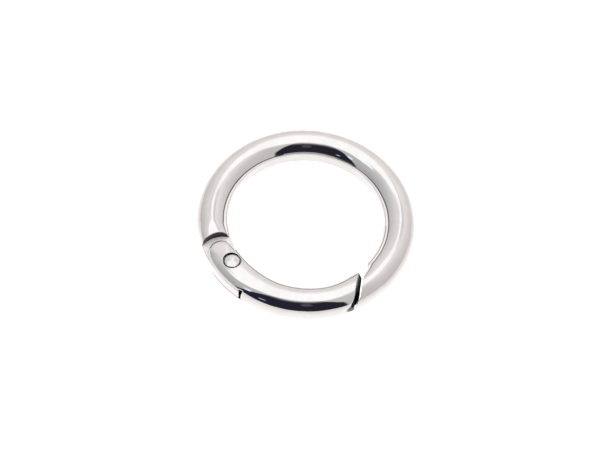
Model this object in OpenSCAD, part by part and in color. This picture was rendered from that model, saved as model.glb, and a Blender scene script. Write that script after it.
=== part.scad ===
// Round carabiner: a ring of round bar with a spring gate, lying flat.
// Origin: centre of the ring, on the surface it lies on. +Z up. Azimuths run
// counter-clockwise from +X, seen from above. The gate swings inwards.

/* [Ring] */
// Clear diameter inside the ring
ring_bore = 25; // [22:0.5:40]
// Diameter of the round bar that the ring is made of
bar_d = 5; // [4.8:0.1:6]

/* [Hinge] */
// Azimuth of the hinge pin
pin_az = 221; // [215:1:226]
// How far the pin's axis sits inside the bar's centreline
pin_inset = 0.35; // [0.2:0.05:0.5]
// Diameter of the hinge pin
pin_d = 2.5; // [2.2:0.1:2.6]
// How far each end of the pin lies below the bar's top and bottom
pin_sink = 0.35; // [0.2:0.05:0.6]
// Width of the countersunk groove around each end of the pin
pin_groove = 0.25; // [0.15:0.05:0.35]
// Thickness of the ring's tongue, which the gate's cheeks straddle
tongue_t = 1.9; // [1.5:0.1:2.1]
// How far the tongue stands inside the ring's bore
tongue_overhang = 0.2; // [0.1:0.05:0.3]
// Distance from the pin's axis to the tongue's cam face, which the spring presses on
cam_reach = 2.3; // [2.1:0.05:2.4]
// Distance from the pin's axis to the end of the lip that closes the gate's slot
lip_reach = 4.6; // [4.2:0.1:5]
// Distance from the pin's axis out to the lip's inner face
lip_offset = 1; // [0.9:0.05:1.2]

/* [Gate] */
// Extra width of the gate's section on its inner side
gate_widening = 0.15; // [0.1:0.05:0.2]
// Distance from the pin's axis back to the centre of the gate's round nose
nose_lead = 1.6; // [1.3:0.1:1.9]
// Open space between the nose and the shoulder of the ring
nose_gap = 1.6; // [1.3:0.1:2]
// Distance from the pin's axis in to the floor of the gate's slot
slot_floor = 1.1; // [1:0.05:1.3]

/* [Latch] */
// Azimuth of the gate's free end on the bar's centreline
latch_az = 305.8; // [298:0.2:312]
// Lean of the gate's end face from square to its swing arm
end_lean = 3.6; // [0:0.2:6]
// Gap between the gate's end face and the ring's
latch_gap = 0.78; // [0.6:0.02:1.1]
// How far the gate's end face runs out past the bar's radius before the scarf
scarf_step = 0.2; // [0:0.05:0.4]
// Slope of the gate's scarf from the swing arm
gate_scarf = 40.7; // [36:0.1:46]
// Slope of the ring's hook that the scarf closes on
hook_scarf = 48; // [46:0.5:55]
// Depth of the taper inside the ring's hook
taper_depth = 0.85; // [0.4:0.05:1.1]
// Arc of the taper, in degrees back from the ring's end face
taper_arc = 17; // [10:1:25]

/* [Spring] */
// Outer diameter of the gate spring
spring_d = 1.5; // [1.3:0.05:1.6]
// Diameter of the spring's wire
spring_wire = 0.3; // [0.2:0.02:0.34]
// Turns of the spring, with one closed turn at each end
spring_turns = 8; // [6:1:10]
// Length of the spring with the gate shut
spring_length = 5; // [4.4:0.1:5.4]
// Turn of the spring's axis in towards the ring's centre
spring_tilt = 10; // [6:1:14]

/* [Clearances] */
// Gap between the tongue and each cheek of the gate
cheek_clearance = 0.1; // [0.05:0.01:0.15]
// Radial gap between the pin and the tongue's bore
pin_clearance = 0.05; // [0.02:0.01:0.08]
// Gap between the swung cam corner and the gate's web
cam_clearance = 0.3; // [0.2:0.05:0.4]
// Gap between the lip's end and the end of the gate's slot
lip_clearance = 0.38; // [0.25:0.01:0.5]
// Gap between the shut gate and the ring's hook
latch_clearance = 0.14; // [0.1:0.01:0.2]
// Radial gap between the spring and its bore
spring_clearance = 0.1; // [0.06:0.01:0.15]
// Gap between each end of the spring and its seat
spring_end_clearance = 0.05; // [0.03:0.01:0.1]

/* [Hidden] */
$fn = 96;
EPS = 0.01;

bar_r = bar_d / 2;
bore_r = ring_bore / 2;
mid_r = bore_r + bar_r;
outer_r = mid_r + bar_r;
near = 2 * bar_d; // reach of the cutting shapes at the hinge, past the bar on all sides
far = 3 * bar_d; // reach of the cutting shapes at the gate's ends

pin_r = pin_d / 2;
pin_ring_r = mid_r - pin_inset;
pin_xy = polar(pin_ring_r, pin_az);
pin_half = bar_r - pin_sink;

// The gate's section is the bar's, drawn out inwards by gate_widening
gate_bore_r = bore_r - gate_widening;
nose_r = bar_r + gate_widening / 2;
nose_ring_r = mid_r - gate_widening / 2;
nose_az = pin_az - arc_deg(nose_lead, pin_ring_r);
nose_xy = polar(nose_ring_r, nose_az);
shoulder_r = nose_r + nose_gap;
shoulder_az = nose_az - arc_deg(shoulder_r, mid_r);

tongue_bore_r = bore_r - tongue_overhang;
tongue_root = 2; // degrees that the tongue is rooted in the bar behind the shoulder
tongue_end_az = pin_az + arc_deg(lip_reach, bore_r) + 2;

// The cam's inner corner, in the hinge frame, and the slot that clears its swing
cam_corner_y = pin_ring_r - tongue_bore_r + 0.15;
cam_corner_x = (cam_reach - cam_corner_y * sin(spring_tilt)) / cos(spring_tilt);
cam_swing_r = norm([cam_corner_x, cam_corner_y]);
slot_half = tongue_t / 2 + cheek_clearance;
slot_round_r = cam_swing_r + cam_clearance;
slot_reach = lip_reach + lip_clearance;

// The latch frame: origin on the centreline at the gate's end, X along the swing arm
latch_xy = polar(mid_r, latch_az);
swing = latch_xy - pin_xy;
latch_turn = atan2(swing.y, swing.x) + end_lean;
scarf_y = -(bar_r + scarf_step);
hook_foot = [latch_clearance * sin(hook_scarf), scarf_y - latch_clearance * cos(hook_scarf)];
hook_top_y = hook_foot.y + (latch_gap - hook_foot.x) * tan(hook_scarf);
hook_start_az = latch_az - arc_deg(bar_d, mid_r);
ring_end_xy = latch_xy + turned([latch_gap, 0], latch_turn);
ring_end_az = 360 + atan2(ring_end_xy.y, ring_end_xy.x);

spring_r = spring_d / 2;
spring_shift = -0.1; // the spring's axis, off the line through the pin
spring_start = cam_reach + spring_end_clearance;
spring_bore_end = spring_start + spring_length + spring_end_clearance;
coil_r = spring_r - spring_wire / 2;
coil_steps = 14;
wire_sides = 6;
closed_pitch = 1.15 * spring_wire;
open_rise = spring_length - spring_wire - 2 * closed_pitch;

function polar(r, az) = [r * cos(az), r * sin(az)];
function turned(p, a) = [p.x * cos(a) - p.y * sin(a), p.x * sin(a) + p.y * cos(a)];
function arc_deg(length, r) = length / r * 180 / PI;

// Height of the coil's centreline after a number of turns
function coil_rise(turn) =
    turn < 1 ? turn * closed_pitch
    : turn > spring_turns - 1 ? closed_pitch + open_rise + (turn - spring_turns + 1) * closed_pitch
    : closed_pitch + open_rise * (turn - 1) / (spring_turns - 2);

// Lifts a shape drawn about the bar's mid-plane to its place over the surface
module at_mid() {
    translate([0, 0, bar_r]) children();
}

// Hinge frame: origin on the pin's axis, X along the gate, Y towards the ring's centre
module at_hinge() {
    translate(pin_xy) rotate(pin_az + 90) children();
}

// Latch frame: X along the swing arm and away from the pin
module at_latch() {
    translate(latch_xy) rotate(latch_turn) children();
}

// Spring frame: X along the spring from the pin's side
module at_spring() {
    at_hinge() rotate(spring_tilt) translate([0, spring_shift]) children();
}

// Sweeps a section round the ring's axis from one azimuth to another
module swept(from_az, to_az) {
    rotate(from_az) rotate_extrude(angle = to_az - from_az, $fn = 180) children();
}

module bar_section() {
    translate([mid_r, 0]) circle(bar_r);
}

module gate_section() {
    bar_section();
    translate([mid_r - gate_widening, 0]) circle(bar_r);
    translate([mid_r - gate_widening, -bar_r]) square([gate_widening, bar_d]);
}

module through_cut() {
    linear_extrude(height = 2 * bar_d, center = true) children();
}

// Plan of what is cut from the ring's end: the gate's space and the scarf inside the hook
module ring_latch_plan() {
    at_latch() polygon([
        [latch_gap, far],
        [latch_gap, hook_top_y],
        [hook_foot.x - far * cos(hook_scarf), hook_foot.y - far * sin(hook_scarf)],
        [-far, far],
    ]);
}

// Plan of what is cut from the gate's end: all past the end face, and the scarf
module gate_latch_plan() {
    at_latch() polygon([
        [0, far],
        [0, scarf_y],
        [-far * cos(gate_scarf), scarf_y - far * sin(gate_scarf)],
        [far, -far],
        [far, far],
    ]);
}

// Plan of the taper inside the ring's hook, a straight cut from the bore to the end face
module taper_plan() {
    start = polar(bore_r, ring_end_az + taper_arc);
    finish = polar(bore_r + taper_depth, ring_end_az);
    run = (finish - start) / norm(finish - start);
    side = [run.y, -run.x];
    polygon([
        start - run * EPS,
        finish + run * bar_d,
        finish + run * bar_d + side * bar_d,
        start - run * EPS + side * bar_d,
    ]);
}

// Plan of the space on each side of the tongue, where the gate's cheeks lie
module cheek_plan() {
    translate(nose_xy) circle(shoulder_r);
    at_hinge() translate([0, -near]) square([near, 2 * near]);
}

// Plan of what is cut from the tongue's end: all past the cam face, but for the lip
module tongue_end_plan() {
    at_hinge() difference() {
        rotate(spring_tilt) translate([cam_reach, -near]) square([near, 2 * near]);
        translate([0, -near]) square([lip_reach, near - lip_offset]);
    }
}

module ring_body() {
    color("silver") at_mid() difference() {
        union() {
            swept(hook_start_az - 360, tongue_end_az) bar_section();
            swept(shoulder_az - tongue_root, tongue_end_az)
                translate([tongue_bore_r, -tongue_t / 2])
                    square([mid_r - tongue_bore_r, tongue_t]);
        }
        for (side = [0, 1]) mirror([0, 0, side])
            translate([0, 0, tongue_t / 2]) linear_extrude(height = bar_d) cheek_plan();
        through_cut() tongue_end_plan();
        through_cut() ring_latch_plan();
        through_cut() taper_plan();
        translate(pin_xy) cylinder(r = pin_r + pin_clearance, h = 2 * bar_d, center = true);
    }
}

// Plan of what is cut from the gate's hinge end to leave its round nose
module nose_plan() {
    difference() {
        translate(nose_xy) rotate(nose_az + 90) translate([-far, -far]) square([far, 2 * far]);
        translate(nose_xy) circle(nose_r);
    }
}

// Plan of the slot that the tongue lies in, open to the outside of the ring
module slot_plan() {
    at_hinge() {
        translate([-far, -far]) square([far, 2 * far]);
        circle(slot_round_r);
        translate([-EPS, -far]) square([slot_reach + EPS, far + slot_floor]);
    }
}

// Pin bore through both cheeks, with the groove around each end of the pin
module pin_bore() {
    cylinder(r = pin_r, h = 2 * bar_d, center = true);
    for (side = [0, 1]) mirror([0, 0, side])
        translate([0, 0, pin_half - 2 * pin_groove])
            cylinder(r1 = pin_r, r2 = pin_r + 2 * pin_groove, h = 4 * pin_groove);
}

module gate() {
    color("gainsboro") at_mid() difference() {
        swept(nose_az - arc_deg(bar_d, mid_r), latch_az + arc_deg(bar_d, mid_r)) gate_section();
        through_cut() nose_plan();
        through_cut() gate_latch_plan();
        linear_extrude(height = 2 * slot_half, center = true) slot_plan();
        at_spring() translate([cam_reach, 0]) rotate([0, 90, 0])
            cylinder(r = spring_r + spring_clearance, h = spring_bore_end - cam_reach);
        translate(pin_xy) pin_bore();
    }
}

module hinge_pin() {
    chamfer = 0.12;
    color("lightgray") at_mid() translate(pin_xy) union() {
        cylinder(r = pin_r, h = 2 * (pin_half - chamfer), center = true);
        for (side = [0, 1]) mirror([0, 0, side])
            translate([0, 0, pin_half - chamfer])
                cylinder(r1 = pin_r, r2 = pin_r - chamfer, h = chamfer);
    }
}

// A compression spring along +Z with a closed turn at each end
module coil_spring() {
    rings = spring_turns * coil_steps;
    points = [for (i = [0 : rings], k = [0 : wire_sides - 1])
        let (
            a = 360 * i / coil_steps,
            b = 360 * k / wire_sides,
            r = coil_r + spring_wire / 2 * cos(b)
        )
        [r * cos(a), r * sin(a),
            spring_wire / 2 + coil_rise(i / coil_steps) + spring_wire / 2 * sin(b)]];
    sides = [for (i = [0 : rings - 1], k = [0 : wire_sides - 1])
        let (next = (k + 1) % wire_sides, a = i * wire_sides, b = a + wire_sides)
        [a + k, a + next, b + next, b + k]];
    first = [for (k = [wire_sides - 1 : -1 : 0]) k];
    last = [for (k = [0 : wire_sides - 1]) rings * wire_sides + k];
    polyhedron(points = points, faces = concat(sides, [first, last]), convexity = 10);
}

module gate_spring() {
    color("dimgray") at_mid() at_spring()
        translate([spring_start, 0]) rotate([0, 90, 0]) coil_spring();
}

ring_body();
gate();
hinge_pin();
gate_spring();
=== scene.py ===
import math

import bmesh
import bpy
import numpy as np
from mathutils import Matrix, Vector


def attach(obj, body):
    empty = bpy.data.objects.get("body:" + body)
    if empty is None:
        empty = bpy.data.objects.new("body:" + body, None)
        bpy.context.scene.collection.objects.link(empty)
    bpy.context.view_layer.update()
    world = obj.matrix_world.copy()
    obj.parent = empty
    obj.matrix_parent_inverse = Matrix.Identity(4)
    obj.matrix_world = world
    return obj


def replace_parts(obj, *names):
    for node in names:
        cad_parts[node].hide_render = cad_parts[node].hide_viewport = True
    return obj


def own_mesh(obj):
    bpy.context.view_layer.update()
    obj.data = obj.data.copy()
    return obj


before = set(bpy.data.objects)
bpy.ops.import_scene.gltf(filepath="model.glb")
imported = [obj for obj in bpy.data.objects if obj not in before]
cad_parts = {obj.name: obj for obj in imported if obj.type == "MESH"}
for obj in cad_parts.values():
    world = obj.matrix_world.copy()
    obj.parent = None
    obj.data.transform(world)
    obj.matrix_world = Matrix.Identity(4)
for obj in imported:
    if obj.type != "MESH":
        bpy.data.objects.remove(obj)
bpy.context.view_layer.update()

# ------------------------------------------------------------ sizes, in millimetres and degrees

MM = 0.001

RING_R = 15.0                    # bar's centreline
BAR_R = 2.5
RING_MIDDLE = 85.4               # azimuth half-way along the ring's bar
RING_HALF = 158.7                # how far the bar reaches from there, each way

SHOULDER_AZ = (188.0, 203.0)     # where the bar's section changes, before the shoulder
SHOULDER_FULLNESS = 1.3          # how much squarer than round it becomes
SHOULDER_SHRINK = 0.07           # and how much smaller
SHOULDER_SHIFT = 0.13            # of the shoulder's wall, towards the nose
SHOULDER_SIDE = -0.23            # and sideways
SHOULDER_EDGE = 0.12
HOOK_SIDE_AZ = 280.0             # past it the bar belongs to the hook's end

TONGUE_HALF = 0.95               # half of its thickness
TONGUE_OVERHANG = 0.2            # past the bar's inside
TONGUE_AZ = (191.0, 200.0)       # where the overhang grows
TONGUE_FILLET = 0.05
CAM_REACH = 2.3                  # of the face that the spring presses on, from the pin
LIP_REACH = 4.52                 # of the tongue's outer lip, from the pin
LIP_OFFSET = 1.0                 # and how far it keeps outside the pin
LIP_EDGE = 0.08
HINGE_ZONE = 9.0                 # how far from the pin the cuts of the hinge reach

PIN_AZ = 221.0
PIN_INSET = 0.35                 # from the bar's centreline
PIN_R = 1.25
PIN_CLEARANCE = 0.05             # in the tongue's bore
PIN_BORE_EDGE = 0.04
PIN_SINK = 0.35                  # of the pin's end, below the bar's crest
PIN_GROOVE = 0.19                # extra width of the hole round the pin's end
PIN_GROOVE_FROM = (0.4, 0.3)     # where that opens, below the pin's end
PIN_HOLE_EDGE = 0.08

GATE_MIDDLE = 262.0              # azimuth half-way along the gate
GATE_SWELL = 0.3                 # extra width inside at the hinge, which fades towards the latch
GATE_SWELL_AZ = (228.0, 288.0)
GATE_FLARE = 0.3                 # extra width inside at the latch
GATE_FLARE_AZ = (287.0, 309.0)
GATE_TIP_CUT = 1.2               # how far its last corner falls back
GATE_TIP_AZ = (311.8, 316.0)
GATE_FULLNESS = 0.5              # how much squarer than round the gate is at the hinge
GATE_FULL_AZ = (224.0, 256.0)    # where that fades
NOSE_LEAD = 1.6                  # of the nose's centre, past the pin
NOSE_GAP = 1.6                   # to the shoulder
NOSE_STRETCH = 0.5               # of its tip
NOSE_FULLNESS = 7.0              # how much squarer its tip is
NOSE_DROOP = 0.15                # slope of its top, past the pin
NOSE_DROOP_FROM = 0.6            # where it starts, past the pin
NOSE_DROOP_EASE = 0.8            # and how softly
SLOT_HALF = 1.05                 # half of the height of the slot that straddles the tongue
SLOT_FLOOR = 1.1                 # how far inside the pin its floor lies
SLOT_ROUND = 3.4                 # radius of its round end
SLOT_REACH = 5.08                # past the pin
SLOT_END_HALF = 1.4              # half of the height of the pocket at its end
SLOT_END = (0.7, 0.5)            # where the pocket starts, back from the slot's end
SLOT_EDGE = 0.12

LATCH_AZ = 305.8
LATCH_GAP = 0.78
LATCH_CLEARANCE = 0.14           # in the scarf
LATCH_EDGE = 0.07
LATCH_ZONE = 8.0                 # how far from the latch its cuts reach
END_LEAN = 3.6                   # turn of the end faces, so that the gate swings clear
END_UNDERCUT = 0.16              # how both end faces lean towards the hook, below their crests
END_UNDERCUT_MOST = 2.6          # the depth where that stops
END_UNDERCUT_POWER = 1.5
GATE_TRIM = 0.12                 # how far the gate's end face stays back from the latch
GATE_SCARF = 40.7                # slope of the gate's outer corner
GATE_CORNER = 1.0                # rounding between it and the end face
HOOK_SCARF = 42.0                # slope of the hook's face that lies beside it
HOOK_CORNER = 0.8
HOOK_TIP = 0.0                   # where the hook's thin tip ends, along the latch
SCARF_Y = -2.7                   # where the slopes meet the end faces, across the bar
TAPER_DEPTH = 1.5                # how much narrower the hook's end is inside
TAPER_ARC = 17.0                 # over which it narrows
TAPER_MOST = 1.25                # how far it goes on past the end face, in such arcs
TAPER_EASE = 0.06

SPRING_TILT = 10.0               # of its axis, from the gate's
SPRING_SHIFT = -0.1
SPRING_START = 2.35              # from the pin
SPRING_LENGTH = 5.0
SPRING_R = 0.75
SPRING_WIRE = 0.3
SPRING_TURNS = 8
SPRING_PITCH = 1.15              # of a closed end turn, in wire widths
SPRING_STEPS = 28                # points in each turn
SPRING_SIDES = 14
SPRING_BORE_R = 0.85
SPRING_BORE_END = 7.4
SPRING_BORE_EDGE = 0.03


# ------------------------------------------------------------ sums on numbers, arrays and sockets

class Term:
    """A value in a node tree: sums on it add Math nodes."""

    def __init__(self, web, socket):
        self.web, self.socket = web, socket

    def math(self, operation, *others):
        return self.web.sum(operation, self, *others)

    def __add__(self, other): return self.math("ADD", other)
    def __radd__(self, other): return self.web.sum("ADD", other, self)
    def __sub__(self, other): return self.math("SUBTRACT", other)
    def __rsub__(self, other): return self.web.sum("SUBTRACT", other, self)
    def __mul__(self, other): return self.math("MULTIPLY", other)
    def __rmul__(self, other): return self.web.sum("MULTIPLY", other, self)
    def __truediv__(self, other): return self.math("DIVIDE", other)
    def __rtruediv__(self, other): return self.web.sum("DIVIDE", other, self)
    def __pow__(self, other): return self.math("POWER", other)
    def __neg__(self): return self.math("MULTIPLY", -1.0)


class Web:
    """A node tree, and the one way that nodes are added to it."""

    def __init__(self, tree):
        self.tree = tree

    def add(self, kind, settings=None, sockets=None):
        node = self.tree.nodes.new(kind)
        for name, value in (settings or {}).items():
            setattr(node, name, value)
        for key, value in (sockets or {}).items():
            self.join(node.inputs[key], value)
        return node

    def join(self, socket, value):
        if isinstance(value, Term):
            value = value.socket
        if isinstance(value, bpy.types.NodeSocket):
            self.tree.links.new(value, socket)
        else:
            socket.default_value = value

    def sum(self, operation, *values):
        node = self.add("ShaderNodeMath", {"operation": operation}, dict(enumerate(values)))
        return Term(self, node.outputs[0])

    def take(self, kind, settings=None, sockets=None, out=0):
        return Term(self, self.add(kind, settings, sockets).outputs[out])

    def split(self, vector):
        """The three parts of a vector."""
        parts = self.add("ShaderNodeSeparateXYZ", None, {0: vector})
        return [Term(self, parts.outputs[i]) for i in range(3)]


def either(name, array_form, *values):
    """A Math node where a value is a socket, and a sum on numbers otherwise."""
    web = next((v.web for v in values if isinstance(v, Term)), None)
    return web.sum(name, *values) if web else array_form(*values)


def larger(a, b): return either("MAXIMUM", np.maximum, a, b)
def smaller(a, b): return either("MINIMUM", np.minimum, a, b)
def size_of(a): return either("ABSOLUTE", np.abs, a)
def root(a): return either("SQRT", np.sqrt, a)
def cosine(deg): return either("COSINE", np.cos, deg * (math.pi / 180))
def sine(deg): return either("SINE", np.sin, deg * (math.pi / 180))
def bearing(y, x): return either("ARCTAN2", np.arctan2, y, x) * (180 / math.pi)
def above(a, b): return either("GREATER_THAN", lambda p, q: np.where(p > q, 1.0, 0.0), a, b)
def span(a, b): return root(a * a + b * b)


def eased(a, start, finish):
    """0 before start and 1 after finish, with a smooth rise between."""
    t = smaller(larger((a - start) / (finish - start), 0.0), 1.0)
    return t * t * (3.0 - 2.0 * t)


def within(a, low, high, softness):
    """1 between low and high, and 0 outside, with soft ends."""
    fall = eased(a, high - softness, high + softness)
    return eased(a, low - softness, low + softness) * (1.0 - fall)


def kept_in(a, b, rounding):
    """What lies inside both shapes, with the edge between them rounded."""
    outside = span(larger(a + rounding, 0.0), larger(b + rounding, 0.0))
    return smaller(larger(a, b), -rounding) + outside


def joined(a, b, rounding):
    """What lies inside either shape, with a fillet between them."""
    inside = span(larger(rounding - a, 0.0), larger(rounding - b, 0.0))
    return larger(smaller(a, b), rounding) - inside


def rounded_section(across, up, fullness):
    """1 on a section that is round at a fullness of 2 and squarer above it."""
    return (across ** fullness + up ** fullness) ** (1.0 / fullness)


def in_frame(x, y, origin, azimuth):
    """The place of a point seen from a frame whose X axis points along an azimuth."""
    dx, dy, c, s = x - origin[0], y - origin[1], cosine(azimuth), sine(azimuth)
    return dx * c + dy * s, dy * c - dx * s


def at_azimuth(radius, azimuth):
    return radius * cosine(azimuth), radius * sine(azimuth)


def arc_deg(length, radius):
    return length / radius * (180 / math.pi)


# ------------------------------------------------------------ places on the carabiner

# named inputs of the bar's node trees, and what the shapes call them
SIZES = {"Ring radius": ("ring_r", RING_R), "Bar radius": ("bar_r", BAR_R),
         "Pin azimuth": ("pin_az", PIN_AZ), "Latch azimuth": ("latch_az", LATCH_AZ)}


def plain_sizes():
    return dict(SIZES.values())


def pin_place(s):
    return at_azimuth(s["ring_r"] - PIN_INSET, s["pin_az"])


def nose_azimuth(s):
    return s["pin_az"] - arc_deg(NOSE_LEAD, s["ring_r"] - PIN_INSET)


def latch_place(s):
    return at_azimuth(s["ring_r"], s["latch_az"])


def latch_turn(s):
    """Azimuth that the gate's end face looks to: straight away from the pin, and a bit more."""
    (px, py), (lx, ly) = pin_place(s), latch_place(s)
    return bearing(ly - py, lx - px) + END_LEAN


def end_lean(z):
    """How far both end faces of the latch lean towards the hook, at a height."""
    depth = smaller(larger(BAR_R - z, 0.0), END_UNDERCUT_MOST)
    return END_UNDERCUT * depth ** END_UNDERCUT_POWER


def from_hinge(s, x, y):
    return in_frame(x, y, pin_place(s), s["pin_az"] + 90)


def from_spring(s, x, y):
    hx, hy = from_hinge(s, x, y)
    c, n = cosine(SPRING_TILT), sine(SPRING_TILT)
    return hx * c + hy * n, hy * c - hx * n - SPRING_SHIFT


def azimuth_from(x, y, middle):
    """Azimuth counted from a middle one, so that it doesn't wrap inside a piece."""
    along, across = in_frame(x, y, (0.0, 0.0), middle)
    return bearing(across, along)


def azimuth_near(x, y, middle):
    return azimuth_from(x, y, middle) + middle


# ------------------------------------------------------------ the ring's shape: below 0 inside it

def hook_narrowing(s, x, y):
    """How much narrower the bar is inside, towards its latch end."""
    end = s["latch_az"] + arc_deg(LATCH_GAP, s["ring_r"]) - 360.0
    back = azimuth_near(x, y, RING_MIDDLE) - end
    share = smaller(larger(1.0 - back / TAPER_ARC, 0.0), TAPER_MOST)
    return TAPER_DEPTH * share * share / (share + TAPER_EASE)


def tongue_slab(s, x, y, z):
    radius = span(x, y)
    overhang = TONGUE_OVERHANG * eased(azimuth_near(x, y, 180.0), *TONGUE_AZ)
    inner = s["ring_r"] - s["bar_r"] - overhang
    return larger(size_of(z) - TONGUE_HALF, larger(inner - radius, radius - s["ring_r"]))


def cheek_space(s, x, y):
    """Plan of the room for the gate's cheeks on both sides of the tongue."""
    nx, ny = at_azimuth(s["ring_r"] - GATE_SWELL / 4, nose_azimuth(s))
    wall = s["bar_r"] + GATE_SWELL / 4 + NOSE_GAP - SHOULDER_SHIFT
    nose = span(x - nx - SHOULDER_SIDE, y - ny) - wall
    hx, hy = from_hinge(s, x, y)
    return smaller(nose, larger(-hx, span(hx, hy) - HINGE_ZONE))


def past_tongue(s, x, y):
    """Plan of what is left off beyond the cam face and the lip."""
    hx, hy = from_hinge(s, x, y)
    tx, _ = from_spring(s, x, y)
    kept = smaller(tx - CAM_REACH, larger(hx - LIP_REACH, hy + LIP_OFFSET))
    return larger(-kept, span(hx, hy) - HINGE_ZONE)


def inside_hook(s, x, y, z):
    """Room for the gate's end: the gap, the scarf below it and what blunts the hook's tip."""
    lx, ly = in_frame(x, y, latch_place(s), latch_turn(s))
    foot_x = LATCH_CLEARANCE * sine(HOOK_SCARF)
    foot_y = SCARF_Y - LATCH_CLEARANCE * cosine(HOOK_SCARF)
    over = (ly - foot_y) * cosine(HOOK_SCARF) - (lx - foot_x) * sine(HOOK_SCARF)
    corner = kept_in(lx - LATCH_GAP - end_lean(z), -over, HOOK_CORNER)
    room = smaller(corner, lx - HOOK_TIP)
    return larger(room, larger(span(lx, ly) - LATCH_ZONE, -LATCH_ZONE - lx))


def ring_skin(s, x, y, z):
    """The bar alone, without its cuts."""
    off = span(x, y) - s["ring_r"]
    inner = s["bar_r"] - hook_narrowing(s, x, y)
    across = larger(off, 0.0) - smaller(off, 0.0) * s["bar_r"] / inner
    az = azimuth_near(x, y, 180.0)
    share = eased(az, *SHOULDER_AZ) * (1.0 - above(az, HOOK_SIDE_AZ))
    fullness, size = 2.0 + SHOULDER_FULLNESS * share, s["bar_r"] * (1.0 - SHOULDER_SHRINK * share)
    return (rounded_section(across / size, size_of(z) / size, fullness) - 1.0) * size


def ring_shape(s, x, y, z):
    off_end = size_of(azimuth_from(x, y, RING_MIDDLE)) - RING_HALF
    ends = off_end * (RING_R * math.pi / 180)
    bar = larger(ring_skin(s, x, y, z), ends)
    tongue = larger(tongue_slab(s, x, y, z), ends)
    body = joined(bar, tongue, TONGUE_FILLET)
    kept = joined(size_of(z) - TONGUE_HALF, -cheek_space(s, x, y), SHOULDER_EDGE)
    body = kept_in(body, kept, SHOULDER_EDGE)
    body = kept_in(body, -past_tongue(s, x, y), LIP_EDGE)
    body = kept_in(body, -inside_hook(s, x, y, z), LATCH_EDGE)
    hx, hy = from_hinge(s, x, y)
    return kept_in(body, PIN_R + PIN_CLEARANCE - span(hx, hy), PIN_BORE_EDGE)


# ------------------------------------------------------------ the gate's shape: below 0 inside it

def gate_swell(az):
    """How much wider than the bar the gate is, inside."""
    flare = GATE_FLARE * eased(az, *GATE_FLARE_AZ) - GATE_TIP_CUT * eased(az, *GATE_TIP_AZ)
    return GATE_SWELL * (1.0 - eased(az, *GATE_SWELL_AZ)) + flare


def gate_bar(s, x, y, z):
    az = azimuth_near(x, y, GATE_MIDDLE)
    swell = gate_swell(az)
    off = size_of(span(x, y) - (s["ring_r"] - swell / 2))
    fullness = 2.0 + GATE_FULLNESS * (1.0 - eased(az, *GATE_FULL_AZ))
    section = rounded_section(off / (s["bar_r"] + swell / 2), size_of(z) / s["bar_r"], fullness)
    return (section - 1.0) * s["bar_r"]


def gate_nose(s, x, y, z):
    """The round end, fuller and a little longer over its tip than a ball."""
    az = nose_azimuth(s)
    tip, side = in_frame(x, y, at_azimuth(s["ring_r"] - GATE_SWELL / 4, az), az - 90)
    away = span(tip, side) + 0.000001
    ahead = larger(tip, 0.0) * tip / (away * away)
    fullness = 2.0 + GATE_FULLNESS + ahead * ahead * NOSE_FULLNESS
    reach = s["bar_r"] + GATE_SWELL / 4 + ahead * NOSE_STRETCH
    section = rounded_section(away / reach, size_of(z) / s["bar_r"], fullness)
    return (section - 1.0) * s["bar_r"], tip


def gate_skin(s, x, y, z):
    """The bar and its nose, without their cuts."""
    hx, _ = from_hinge(s, x, y)
    past_pin = larger(-NOSE_DROOP_FROM - hx, 0.0)
    z = size_of(z) + NOSE_DROOP * past_pin * past_pin / (past_pin + NOSE_DROOP_EASE)
    nose, tip = gate_nose(s, x, y, z)
    past = above(tip, 0.0)
    return nose * past + gate_bar(s, x, y, z) * (1.0 - past)


def gate_slot(s, x, y, z):
    hx, hy = from_hinge(s, x, y)
    plan = smaller(span(hx, hy) - SLOT_ROUND, larger(hx - SLOT_REACH, hy - SLOT_FLOOR))
    start, finish = (SLOT_REACH - back for back in SLOT_END)
    half = SLOT_HALF + (SLOT_END_HALF - SLOT_HALF) * eased(hx, start, finish)
    return larger(size_of(z) - half, smaller(hx, plan))


def past_gate(s, x, y, z):
    """The gate's end face and the slanting corner outside it."""
    lx, ly = in_frame(x, y, latch_place(s), latch_turn(s))
    over = (ly - SCARF_Y) * cosine(GATE_SCARF) - lx * sine(GATE_SCARF)
    return kept_in(lx - end_lean(z) + GATE_TRIM, -over, GATE_CORNER)


def pin_hole(s, x, y, z):
    hx, hy = from_hinge(s, x, y)
    start, finish = (BAR_R - PIN_SINK - below for below in PIN_GROOVE_FROM)
    return span(hx, hy) - PIN_R - PIN_GROOVE * eased(size_of(z), start, finish)


def spring_bore(s, x, y, z):
    tx, ty = from_spring(s, x, y)
    return larger(span(ty, z) - SPRING_BORE_R, larger(tx - SPRING_BORE_END, -tx))


def gate_shape(s, x, y, z):
    body = kept_in(gate_skin(s, x, y, z), past_gate(s, x, y, z), LATCH_EDGE)
    body = kept_in(body, -gate_slot(s, x, y, z), SLOT_EDGE)
    body = kept_in(body, -spring_bore(s, x, y, z), SPRING_BORE_EDGE)
    return kept_in(body, -pin_hole(s, x, y, z), PIN_HOLE_EDGE)


# ------------------------------------------------------------ bar pieces, grown in a grid

STEP = 0.105                     # of the grid, which follows the bar
GRID_MARGIN = 0.5                # round the bar
FIELD_LIMIT = 0.3                # of the field's depth, and of the grid's lead before its route
# first and last azimuth, where the plain part lies along the grid, and how much coarser it is there
RING_ROUTE = (-74.0, 244.5, 12.1, 31.1, 3.0)
GATE_ROUTE = (202.5, 318.0, 11.0, 16.6, 2.5)

SETTLE_PASSES = 4
SETTLE_MOVE = 0.05               # the most that one pass moves a corner
SETTLE_SLOPE = 0.25              # the least squared slope that is trusted
SLOPE_STEP = 0.004
CUT_DEPTH = (0.06, 0.16)         # below the bar's own skin, from uncut to cut
CUT_LEVEL = (0.6, 0.85)          # upward part of the normal, from wall to flat


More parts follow.
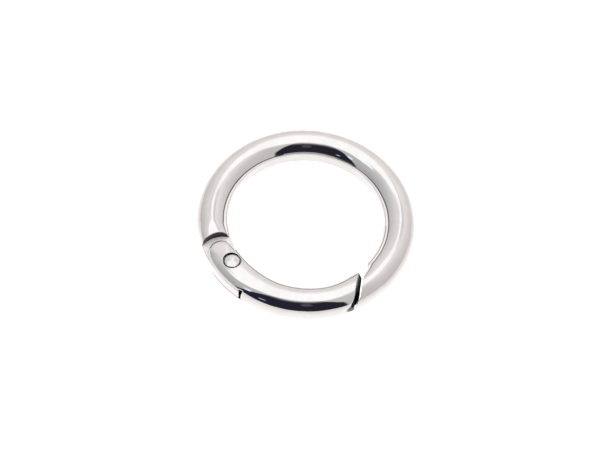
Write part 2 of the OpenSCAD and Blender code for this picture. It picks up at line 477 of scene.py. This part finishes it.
def azimuth_along(u, route):
    """Azimuth at a place along the grid, which is coarser where the bar is plain."""
    start, _, first, last, ratio = route
    fine, coarse = arc_deg(1.0, RING_R), arc_deg(ratio, RING_R)
    return start + fine * u + (coarse - fine) * (larger(u - first, 0.0) - larger(u - last, 0.0))


def grid_length(route):
    start, finish, first, last, ratio = route
    fine, coarse = arc_deg(1.0, RING_R), arc_deg(ratio, RING_R)
    return last + (finish - (start + first * fine + (last - first) * coarse)) / fine


def new_tree(name, inputs):
    """A geometry tree with number inputs: its web, and the inputs as terms."""
    tree = bpy.data.node_groups.new(name, "GeometryNodeTree")
    tree.interface.new_socket(name="Geometry", in_out="OUTPUT", socket_type="NodeSocketGeometry")
    for label, value in inputs.items():
        entry = tree.interface.new_socket(name=label, in_out="INPUT",
                                          socket_type="NodeSocketFloat")
        entry.default_value = value
    web = Web(tree)
    outputs = web.add("NodeGroupInput").outputs
    return web, {label: Term(web, outputs[label]) for label in inputs}


def close_tree(web, geometry, material):
    whole = web.add("GeometryNodeRealizeInstances", None, {0: geometry})
    dressed = web.add("GeometryNodeSetMaterial", None,
                      {"Geometry": whole.outputs[0], "Material": material})
    web.add("NodeGroupOutput", None, {0: dressed.outputs[0]})
    return web.tree


def bar_tree(name, shape, route, material):
    labels = {label: value for label, (_, value) in SIZES.items()}
    web, terms = new_tree(name, {**labels, "Grid step": STEP})
    s = {key: terms[label] for label, (key, _) in SIZES.items()}
    u, v, z = web.split(web.take("GeometryNodeInputPosition"))
    x, y = at_azimuth(s["ring_r"] + v, azimuth_along(u, route))
    depth = smaller(larger(-shape(s, x, y, z), -FIELD_LIMIT), FIELD_LIMIT)
    reach = BAR_R + GRID_MARGIN
    low, high = (-FIELD_LIMIT, -reach, -reach), (grid_length(route), reach, reach)
    counts = {f"Resolution {axis}": (high[i] - low[i]) / terms["Grid step"]
              for i, axis in enumerate("XYZ")}
    cube = web.add("GeometryNodeVolumeCube", None,
                   {"Density": depth, "Background": -FIELD_LIMIT, "Min": low, "Max": high,
                    **counts})
    skin = web.add("GeometryNodeVolumeToMesh", {"resolution_mode": "GRID"},
                   {"Volume": cube.outputs[0], "Threshold": 0.0, "Adaptivity": 0.0})
    spot = web.take("ShaderNodeCombineXYZ", None,
                    {0: x * MM, 1: y * MM, 2: (z + s["bar_r"]) * MM})
    bent = web.add("GeometryNodeSetPosition", None,
                   {"Geometry": skin.outputs[0], "Position": spot})
    return close_tree(web, bent.outputs[0], material)


def grown(name, tree):
    """The tree's result as a plain mesh object."""
    holder = bpy.data.objects.new(name + "_source", bpy.data.meshes.new(name + "_source"))
    bpy.context.scene.collection.objects.link(holder)
    modifier = holder.modifiers.new("grow", "NODES")
    modifier.node_group = tree
    graph = bpy.context.evaluated_depsgraph_get()
    mesh = bpy.data.meshes.new_from_object(holder.evaluated_get(graph), depsgraph=graph)
    bpy.data.objects.remove(holder)
    piece = bpy.data.objects.new(name, mesh)
    bpy.context.scene.collection.objects.link(piece)
    return piece


def read(collection, name, width, kind):
    """One property of every item of a mesh, as rows."""
    values = np.zeros(len(collection) * width, kind)
    collection.foreach_get(name, values)
    return values.reshape(-1, width) if width > 1 else values


def settle(piece, shape, skin):
    """Moves each corner onto the shape, gives it the shape's own normal, and marks what is cut."""
    mesh, s = piece.data, plain_sizes()
    p = read(mesh.vertices, "co", 3, np.float32).astype(float) / MM - (0, 0, BAR_R)

    def value(q):
        return shape(s, q[:, 0], q[:, 1], q[:, 2])

    def slope(q):
        steps = np.eye(3) * SLOPE_STEP
        return np.stack([(value(q + d) - value(q - d)) / (2 * SLOPE_STEP) for d in steps], 1)

    for _ in range(SETTLE_PASSES):
        g = slope(p)
        move = -value(p)[:, None] * g / np.maximum((g * g).sum(1), SETTLE_SLOPE)[:, None]
        p += np.clip(move, -SETTLE_MOVE, SETTLE_MOVE)
    g = slope(p)
    g /= np.maximum(np.linalg.norm(g, axis=1), 1e-9)[:, None]
    mesh.vertices.foreach_set("co", ((p + (0, 0, BAR_R)) * MM).astype(np.float32).ravel())
    mesh.update()
    faces = read(mesh.polygons, "normal", 3, np.float32)
    first = read(mesh.polygons, "loop_start", 1, np.int32)
    corners = read(mesh.loops, "vertex_index", 1, np.int32)
    if (faces * g[corners[first]]).sum() < 0:
        mesh.flip_normals()
    mesh.shade_smooth()
    mesh.normals_split_custom_set_from_vertices(g.astype(np.float32).tolist())
    cut = eased(-skin(s, p[:, 0], p[:, 1], p[:, 2]), *CUT_DEPTH)
    level = eased(size_of(g[:, 2]), *CUT_LEVEL)
    # the first mark places the painted shade on the cuts' walls, the second the flats' paler finish
    for name, amount in {"cut_wall_shade": cut * (1.0 - level), "cut_flat": cut * level}.items():
        mark = mesh.attributes.new(name, "FLOAT", "POINT")
        mark.data.foreach_set("value", amount.astype(np.float32))
    return piece


# ------------------------------------------------------------ finishes

NOISE_ROUGHNESS = 0.55
FINE_DETAIL = 4.0

PLATING = ((0.555, 0.543, 0.548), (0.585, 0.575, 0.575))
# painted shade: near black, for the walls of the cuts, where the recesses lie in shadow
WALL_PAINTED_SHADE = (0.045, 0.042, 0.052)
PLATING_FLAT = (0.98, 0.965, 0.96)
PLATING_CLOUD = 2.6              # wavelengths, in millimetres
PLATING_GRAIN = 0.22
PLATING_WAVE = 3.2
PLATING_WAVE_DEPTH = 0.03
PLATING_GRAIN_DEPTH = 0.02       # share of that
CLOUD_RANGE = (0.3, 0.7)         # of the noise that changes the colour
FLAT_COVER = (0.8, 0.2)          # how much of the flats' colour shows, and what the grain adds
FLAT_DULLNESS = 0.95             # how much less metallic the flats are

PIN_STEEL = ((0.53, 0.515, 0.52), (0.57, 0.56, 0.56))
PIN_GRAIN = 0.15
PIN_RINGS = 0.11                 # wavelength of the turning marks
PIN_RINGS_WANDER = 200.0         # by how many degrees of a ring they wander
PIN_WANDER = 0.5                 # over this wavelength
PIN_MARK_DEPTH = 0.0006

SPRING_STEEL = ((0.34, 0.32, 0.30), (0.47, 0.46, 0.45))
SPRING_CLOUD = 0.8
SPRING_GRAIN = 0.08
SPRING_MARK_DEPTH = 0.002


def new_finish(name):
    material = bpy.data.materials.new(name)
    material.use_nodes = True
    sockets = material.node_tree.nodes["Principled BSDF"].inputs
    sockets["Metallic"].default_value = 1.0
    return material, Web(material.node_tree), sockets


def object_place(web):
    """Object coordinates in millimetres, from the mid-plane of the bar."""
    x, y, z = web.split(web.add("ShaderNodeTexCoord").outputs["Object"])
    return x / MM, y / MM, z / MM - BAR_R


def mottle(web, wavelength, detail=2.0):
    """Soft noise between 0 and 1, with its wavelength in millimetres."""
    place = web.add("ShaderNodeTexCoord").outputs["Object"]
    return web.take("ShaderNodeTexNoise", None,
                    {"Vector": place, "Scale": 1.0 / (wavelength * MM), "Detail": detail,
                     "Roughness": NOISE_ROUGHNESS})


def blended(web, share, low, high):
    """Two colours mixed; each is a term, or three numbers."""
    low, high = (c if isinstance(c, Term) else (*c, 1.0) for c in (low, high))
    return web.take("ShaderNodeMix", {"data_type": "RGBA"}, {0: share, 6: low, 7: high}, 2)


def ripple(web, height, depth):
    """A normal from a height between 0 and 1, with its depth in millimetres."""
    return web.take("ShaderNodeBump", None,
                    {"Strength": 1.0, "Distance": depth * MM, "Height": height})


def dress(web, sockets, colour, roughness, normal):
    for name, value in {"Base Color": colour, "Roughness": roughness, "Normal": normal}.items():
        web.join(sockets[name], value)


def polished_plating():
    """Bright plating on a polished bar: faintly wavy, a little cloudy, with a painted shade that
    makes the cuts' walls near black.
    """
    material, web, sockets = new_finish("polished_plating")
    # how much of the painted shade of the cuts' walls falls on each point
    wall = web.take("ShaderNodeAttribute", {"attribute_name": "cut_wall_shade"}, None, 2)
    flat = web.take("ShaderNodeAttribute", {"attribute_name": "cut_flat"}, None, 2)
    cloud, grain = mottle(web, PLATING_CLOUD), mottle(web, PLATING_GRAIN, FINE_DETAIL)
    bright = blended(web, eased(cloud, *CLOUD_RANGE), *PLATING)
    cover, grainy = FLAT_COVER
    worn = blended(web, flat * (cover + grainy * grain), bright, PLATING_FLAT)
    wave = mottle(web, PLATING_WAVE, 1.0) + PLATING_GRAIN_DEPTH * grain
    dress(web, sockets, blended(web, wall, worn, WALL_PAINTED_SHADE),
          0.018 + 0.03 * grain + 0.26 * flat + 0.17 * wall,
          ripple(web, wave, PLATING_WAVE_DEPTH))
    web.join(sockets["Metallic"], 1.0 - FLAT_DULLNESS * flat)
    return material


def pin_steel():
    """Turned steel: fine rings round the pin's axis, and a soft sheen."""
    material, web, sockets = new_finish("pin_steel")
    x, y, _ = object_place(web)
    px, py = pin_place(plain_sizes())
    turns = span(x - px, y - py) * (360.0 / PIN_RINGS)
    rings = sine(turns + mottle(web, PIN_WANDER) * PIN_RINGS_WANDER)
    grain = mottle(web, PIN_GRAIN, FINE_DETAIL)
    dress(web, sockets, blended(web, grain, *PIN_STEEL), 0.05 + 0.06 * grain + 0.01 * rings,
          ripple(web, rings * 0.5 + grain, PIN_MARK_DEPTH))
    return material


def spring_steel():
    """Drawn wire: darker steel with a straw tint and light scratches."""
    material, web, sockets = new_finish("spring_steel")
    cloud, grain = mottle(web, SPRING_CLOUD), mottle(web, SPRING_GRAIN, 3.0)
    dress(web, sockets, blended(web, cloud, *SPRING_STEEL), 0.18 + 0.16 * grain,
          ripple(web, grain, SPRING_MARK_DEPTH))
    return material


# ------------------------------------------------------------ pieces

def bar_piece(name, shape, skin, route, material):
    return settle(grown(name, bar_tree(name, shape, route, material)), shape, skin)


def ring_piece(material):
    piece = bar_piece("ring_bar", ring_shape, ring_skin, RING_ROUTE, material)
    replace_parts(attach(piece, "ring"), "ring_body")


def gate_piece(material):
    piece = bar_piece("gate_bar", gate_shape, gate_skin, GATE_ROUTE, material)
    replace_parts(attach(piece, "gate"), "gate")


# radius and height above the pin's end, from the middle of its domed head to its side
PIN_PROFILE = [(0.0, 0.250), (0.22, 0.2436), (0.44, 0.2244), (0.66, 0.1924), (0.88, 0.1476),
               (1.02, 0.112), (1.11, 0.080), (1.17, 0.044), (1.215, -0.004), (1.24, -0.06),
               (PIN_R, -0.13), (PIN_R, -0.40), (PIN_R, -1.15)]
PIN_SIDES = 96


def pin_piece(material):
    """A lathe-turned pin with two domed heads."""
    px, py = pin_place(plain_sizes())
    upper = [(r, BAR_R - PIN_SINK + rise) for r, rise in PIN_PROFILE]
    mesh, shell = bmesh.new(), []
    for r, h in upper + [(r, -h) for r, h in reversed(upper)]:
        count = PIN_SIDES if r > 0 else 1
        turn = [i * 360.0 / count for i in range(count)]
        shell.append([mesh.verts.new(((px + r * cosine(a)) * MM, (py + r * sine(a)) * MM,
                                      (h + BAR_R) * MM)) for a in turn])
    for first, second in zip(shell, shell[1:]):
        for i in range(PIN_SIDES):
            j = (i + 1) % PIN_SIDES
            ring = [first[i % len(first)], second[i % len(second)],
                    second[j % len(second)], first[j % len(first)]]
            mesh.faces.new(list(dict.fromkeys(ring))).smooth = True
    bmesh.ops.recalc_face_normals(mesh, faces=mesh.faces)
    piece = bpy.data.objects.new("hinge_pin_turned", bpy.data.meshes.new("hinge_pin_turned"))
    mesh.to_mesh(piece.data)
    mesh.free()
    piece.data.materials.append(material)
    bpy.context.scene.collection.objects.link(piece)
    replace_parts(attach(piece, "gate"), "hinge_pin")


def spring_direction(turn=0.0):
    return at_azimuth(1.0, PIN_AZ + 90 + (SPRING_TILT + turn))


def spring_tree(material):
    sizes = {"Coil radius": SPRING_R - SPRING_WIRE / 2, "Wire": SPRING_WIRE,
             "Length": SPRING_LENGTH, "Turns": SPRING_TURNS}
    web, terms = new_tree("spring", sizes)
    coil, wire, length, turns = terms.values()
    line = web.add("GeometryNodeMeshLine", None, {"Count": SPRING_TURNS * SPRING_STEPS + 1})
    turn = web.take("GeometryNodeInputIndex") / SPRING_STEPS
    closed = SPRING_PITCH * wire
    opened = (length - wire - 2.0 * closed) / (turns - 2.0)
    rise = closed * turn + (opened - closed) * smaller(larger(turn - 1.0, 0.0), turns - 2.0)
    along = SPRING_START + wire / 2.0 + rise
    across = coil * cosine(turn * 360.0) + SPRING_SHIFT
    (cx, cy), (sx, sy) = spring_direction(), spring_direction(90)
    px, py = pin_place(plain_sizes())
    spot = web.take("ShaderNodeCombineXYZ", None,
                    {0: (px + along * cx + across * sx) * MM,
                     1: (py + along * cy + across * sy) * MM,
                     2: (BAR_R + coil * sine(turn * 360.0)) * MM})
    wound = web.add("GeometryNodeSetPosition", None,
                    {"Geometry": line.outputs[0], "Position": spot})
    path = web.add("GeometryNodeMeshToCurve", None, {0: wound.outputs[0]})
    section = web.add("GeometryNodeCurvePrimitiveCircle", None,
                      {"Resolution": SPRING_SIDES, "Radius": wire / 2.0 * MM})
    coiled = web.add("GeometryNodeCurveToMesh", None,
                     {"Curve": path.outputs[0], "Profile Curve": section.outputs[0],
                      "Fill Caps": True})
    smooth = web.add("GeometryNodeSetShadeSmooth", None, {0: coiled.outputs[0]})
    return close_tree(web, smooth.outputs[0], material)


def spring_piece(material):
    piece = grown("gate_coil_spring", spring_tree(material))
    (px, py), (cx, cy) = pin_place(plain_sizes()), spring_direction()
    end = SPRING_START + SPRING_LENGTH
    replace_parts(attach(piece, "gate"), "gate_spring")
    (px + end * cx) * MM
    (py + end * cy) * MM
    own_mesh(piece)


# ------------------------------------------------------------ stage and light

FLOOR_HALF = 600.0
# painted light: how strongly the card glows, far off and near the bar
FLOOR_GLOW = 0.42
FLOOR_NEAR_GLOW = 0.75
FLOOR_FADE = 8.0                 # how far from the bar that halves
FLOOR_MOST_GLOW = 1.4
FLOOR_SHADE = (0.4, 1.3)         # painted shade, from shaded to lit, away from under the bar's middle
FLOOR_ALBEDO = (0.8 * 0.99, 0.8 * 1.01)
FLOOR_TINT = (1.0, 0.98, 0.961)

# the tent: levels of light, and azimuths and heights in degrees, counted from the front
CEILING = 1.71
WALL = 0.81
WALL_FAR = 0.35                  # more at the back
WALL_FAR_POWER = 1.4
WALL_SIDE = 0.10                 # more at the right, less at the left
WALL_RISE = 0.0046               # for each degree up
WALL_RISE_FRONT = 0.3            # share of that in front
LEFT_DIP = 0.12                  # how much darker it is left of the dark side, low down
SEAM_RIGHT, SEAM_LEFT = 0.22, 0.07

EDGE = 70.0                      # height of the ceiling's edge
EDGE_SOFT = 5.0                  # half of the width that it blurs over
BACK_DROP = 11.5                 # how much lower and sharper it is at the back
BACK_SHARPER = 3.4
SIDE_DROP = (4.0, 10.0)          # how much lower at the left, and more beside the dark side
BACK_AZ = (112.0, 160.0)
RISE_AZ = (60.0, 115.0)
SIDE_DROP_AZ = (-64.0, -50.0)
BESIDE_DROP = (-96.0, -66.0, 7.0)
LEFT_DIP_AZ = (-85.0, -50.0, 10.0)
LEFT_DIP_HEIGHT = (15.0, 40.0)
STRIP_AZ = (167.0, 175.0)
STRIP_HEIGHT = (31.0, 55.0)
SEAM_RIGHT_AZ = (146.0, 168.0, 5.0)
SEAM_LEFT_AZ = (-168.0, -146.0, 5.0)
SEAM_HEIGHT = (49.5, 56.5, 1.5)

DARK_LEFT, DARK_RIGHT, DARK_SOFT = -54.0, 41.0, 2.0
DARK_SLANT = 0.25                # how fast both edges move inwards with height
DARK_SLANT_FROM = 30.0           # height where the right one starts to
DARK_TOP = (55.0, 82.0)
DARK_SIDE = (0.030, 0.028, 0.048)
# patches on the dark side: azimuth from the front, height, half width, half height, colour
PATCHES = [(6.5, 47.0, 6.0, 10.0, (0.15, 0.097, 0.14)),
           (-30.0, 23.0, 2.5, 2.5, (0.69, 0.90, 1.14)),
           (-47.0, 41.0, 3.0, 6.5, (1.21, 1.59, 1.75))]
PATCH_SOFT = (0.7, 1.3)

LEFT_TINT = (1.0, 1.018, 1.02)
WARM_TINT = (1.0, 0.95, 0.927)
PALE_TINT = (1.0, 0.99, 0.985)
BACKDROP = (0.97, 0.965, 0.955)


def floor_card():
    """Pale card that glows brightest beside the ring, a painted pool of light; its painted shade
    under the bar shows in reflections, not to the camera.
    """
    material, web, sockets = new_finish("floor_card")
    x, y, _ = object_place(web)
    away = size_of(span(x, y) - RING_R)
    seen = Term(web, web.add("ShaderNodeLightPath").outputs["Is Camera Ray"])
    lit = larger(eased(away, *FLOOR_SHADE), seen)
    fade = 1.0 + (away / FLOOR_FADE) * (away / FLOOR_FADE)
    # painted light: the card glows, most near the bar, less under its middle except to the camera
    glow = smaller((FLOOR_GLOW + FLOOR_NEAR_GLOW / fade) * lit, FLOOR_MOST_GLOW)
    web.join(sockets["Emission Color"],
             blended(web, glow / FLOOR_MOST_GLOW, (0.0, 0.0, 0.0), FLOOR_TINT))
    shades = ([albedo * c for c in FLOOR_TINT] for albedo in FLOOR_ALBEDO)
    web.join(sockets["Base Color"], blended(web, mottle(web, 40.0), *shades))
    for key, value in {"Metallic": 0.0, "Roughness": 1.0, "Specular IOR Level": 0.0,
                       "Emission Strength": FLOOR_MOST_GLOW}.items():
        sockets[key].default_value = value
    return material


def pale_floor():
    half = FLOOR_HALF * MM
    corners = [(-half, -half, 0), (half, -half, 0), (half, half, 0), (-half, half, 0)]
    mesh = bpy.data.meshes.new("floor")
    mesh.from_pydata(corners, [], [(0, 1, 2, 3)])
    mesh.materials.append(floor_card())
    floor = bpy.data.objects.new("floor", mesh)
    bpy.context.scene.collection.objects.link(floor)


def tent_light(around, height):
    """Brightness of the tent, with how much of it is ceiling and how far back it is.

    Grey walls under a bright ceiling that comes lower at the back and at the left of the dark
    side, a bright strip opposite the dark side, and a seam.
    """
    far, turned = larger(-cosine(around), 0.0), size_of(around)
    back = eased(turned, *BACK_AZ)
    rise = WALL_RISE * (WALL_RISE_FRONT + (1.0 - WALL_RISE_FRONT) * eased(turned, *RISE_AZ))
    wall = WALL + far ** WALL_FAR_POWER * WALL_FAR + sine(around) * WALL_SIDE + height * rise
    low_down = 1.0 - eased(height, *LEFT_DIP_HEIGHT)
    wall = wall * (1.0 - LEFT_DIP * within(around, *LEFT_DIP_AZ) * low_down)
    left, more = SIDE_DROP
    beside = left * (1.0 - eased(around, *SIDE_DROP_AZ)) + more * within(around, *BESIDE_DROP)
    edge = EDGE - BACK_DROP * back - (1.0 - back) * beside
    soft = EDGE_SOFT - BACK_SHARPER * back
    strip = eased(turned, *STRIP_AZ) * eased(height, *STRIP_HEIGHT)
    lift = larger(eased(height, edge - soft, edge + soft), strip)
    folds = SEAM_RIGHT * within(around, *SEAM_RIGHT_AZ) + SEAM_LEFT * within(around, *SEAM_LEFT_AZ)
    seam = folds * within(height, *SEAM_HEIGHT)
    return (wall * (1.0 - lift) + lift * CEILING) * (1.0 - seam), lift, far


def studio():
    """A light tent with one dark side; what is seen past the object is a plain pale backdrop."""
    world = bpy.data.worlds.new("studio")
    bpy.context.scene.world = world
    world.use_nodes = True
    web = Web(world.node_tree)
    x, y, z = web.split(web.add("ShaderNodeTexCoord").outputs["Generated"])
    height = bearing(z, span(x, y))
    around = bearing(x, -y)
    light, lift, far = tent_light(around, height)
    warm = larger(sine(around) * 0.5 + 0.5, far)
    tint = blended(web, lift, blended(web, warm, LEFT_TINT, WARM_TINT), PALE_TINT)
    bright = web.take("ShaderNodeCombineXYZ", None, {0: light, 1: light, 2: light})
    colour = web.take("ShaderNodeVectorMath", {"operation": "MULTIPLY"}, {0: tint, 1: bright})
    left = DARK_LEFT + height * DARK_SLANT
    right = DARK_RIGHT - larger(height - DARK_SLANT_FROM, 0.0) * DARK_SLANT
    dark = within(around, left, right, DARK_SOFT) * (1.0 - eased(height, *DARK_TOP))
    colour = blended(web, dark, colour, DARK_SIDE)
    for az, el, wide, tall, shade in PATCHES:
        away = span((around - az) / wide, (height - el) / tall)
        colour = blended(web, 1.0 - eased(away, *PATCH_SOFT), colour, shade)
    seen = web.add("ShaderNodeLightPath").outputs["Is Camera Ray"]
    web.join(world.node_tree.nodes["Background"].inputs[0], blended(web, seen, colour, BACKDROP))
    bpy.context.scene.view_settings.view_transform = "Standard"
    bpy.context.scene.cycles.glossy_bounces = 1


# ------------------------------------------------------------ camera

CAMERA_ELEVATION = 0.997518348   # in radians
CAMERA_ROLL = -4.7055
CAMERA_DISTANCE = 455.35
CAMERA_LENS = 171.53
CAMERA_SENSOR = 36.0
CAMERA_CLIP = (0.01, 20)         # in metres
FRAME_W, FRAME_H = 600, 450
RING_CENTRE_PX = (305.87, 222.90)


def camera():
    data = bpy.data.cameras.new("camera")
    data.lens, data.sensor_width = CAMERA_LENS, CAMERA_SENSOR
    data.shift_x = (FRAME_W / 2 - RING_CENTRE_PX[0]) / FRAME_W
    data.shift_y = (RING_CENTRE_PX[1] - FRAME_H / 2) / FRAME_W
    data.clip_start, data.clip_end = CAMERA_CLIP
    eye = bpy.data.objects.new("camera", data)
    bpy.context.scene.collection.objects.link(eye)
    lift, roll = CAMERA_ELEVATION, math.radians(CAMERA_ROLL)
    back = Vector((0, -math.cos(lift), math.sin(lift)))
    up = Vector((0, math.sin(lift), math.cos(lift)))
    right = Vector((1, 0, 0))
    side = math.cos(roll) * right - math.sin(roll) * up
    top = math.sin(roll) * right + math.cos(roll) * up
    turn = Matrix((side, top, back)).transposed().to_4x4()
    centre = Vector((0, 0, BAR_R * MM))
    eye.matrix_world = Matrix.Translation(centre + back * CAMERA_DISTANCE * MM) @ turn
    bpy.context.scene.camera = eye


plating = polished_plating()
ring_piece(plating)
gate_piece(plating)
pin_piece(pin_steel())
spring_piece(spring_steel())
pale_floor()
studio()
camera()
